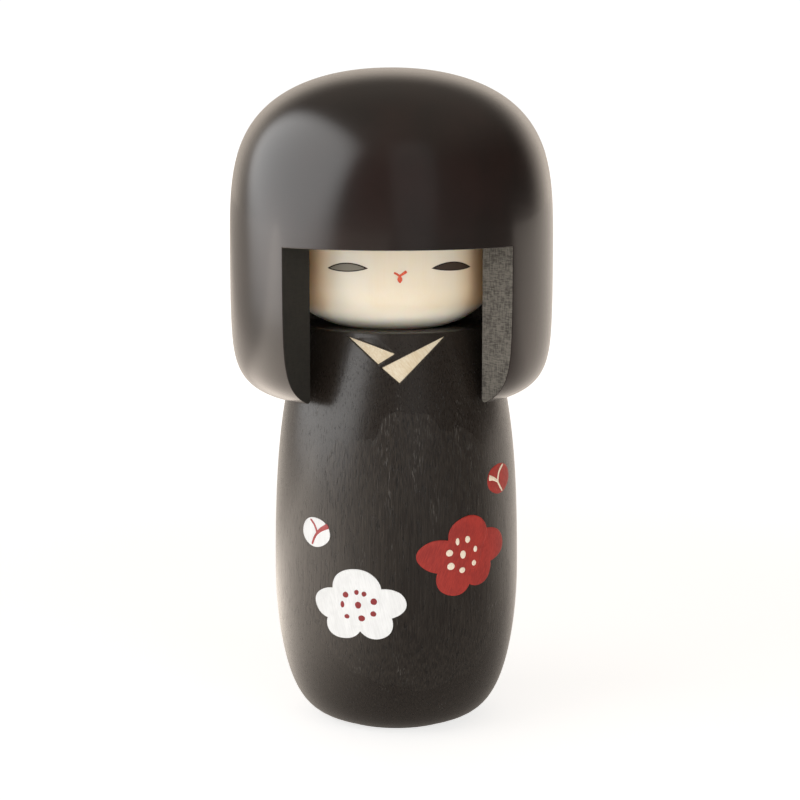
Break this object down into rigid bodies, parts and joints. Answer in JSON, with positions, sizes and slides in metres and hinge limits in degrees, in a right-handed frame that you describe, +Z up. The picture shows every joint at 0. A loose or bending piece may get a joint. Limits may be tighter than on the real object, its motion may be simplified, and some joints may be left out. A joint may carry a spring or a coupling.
{
  "type": "kokeshi doll",
  "caption": "Standing wooden doll with a dark barrel body, a pale drum face set back in a turned bob of hair that turns on a neck dowel, and a carved collar.",
  "frame": {"origin": "centre of the flat foot, on the surface that the doll stands on, on the body's axis", "axes": "+Z up the body's axis; the face looks along -Y; +X is on the viewer's right"},
  "size_m": [0.0738, 0.0737, 0.15],
  "materials": {
    "stained_wood": "dark brown-black stain, waxed, open grain",
    "pale_wood": "pale cream, satin wax",
    "hair_lacquer": "dark brown lacquer, polished",
    "beech": "bare fluted dowel",
    "cut_wood": "black-stained sawn end grain, matt",
    "cream_paint": "cream paint, matt, brushed",
    "white_paint": "white paint, matt, brushed",
    "red_paint": "dark red paint, matt, brushed",
    "mouth_paint": "orange-red ink",
    "eye_paint": "dark brown ink"
  },
  "bodies": {
    "body": {"body": "stained_wood", "neck_dowel": "beech"},
    "head": {"face_drum": "pale_wood", "crown_dowel": "beech", "hair_bob": "hair_lacquer"}
  },
  "joints": [
    {"name": "head_turn", "type": "hinge", "parent": "body", "child": "head", "pos_m": [-0.0011, 0, 0.091], "axis": [0, 0, 1], "continuous": true}
  ]
}
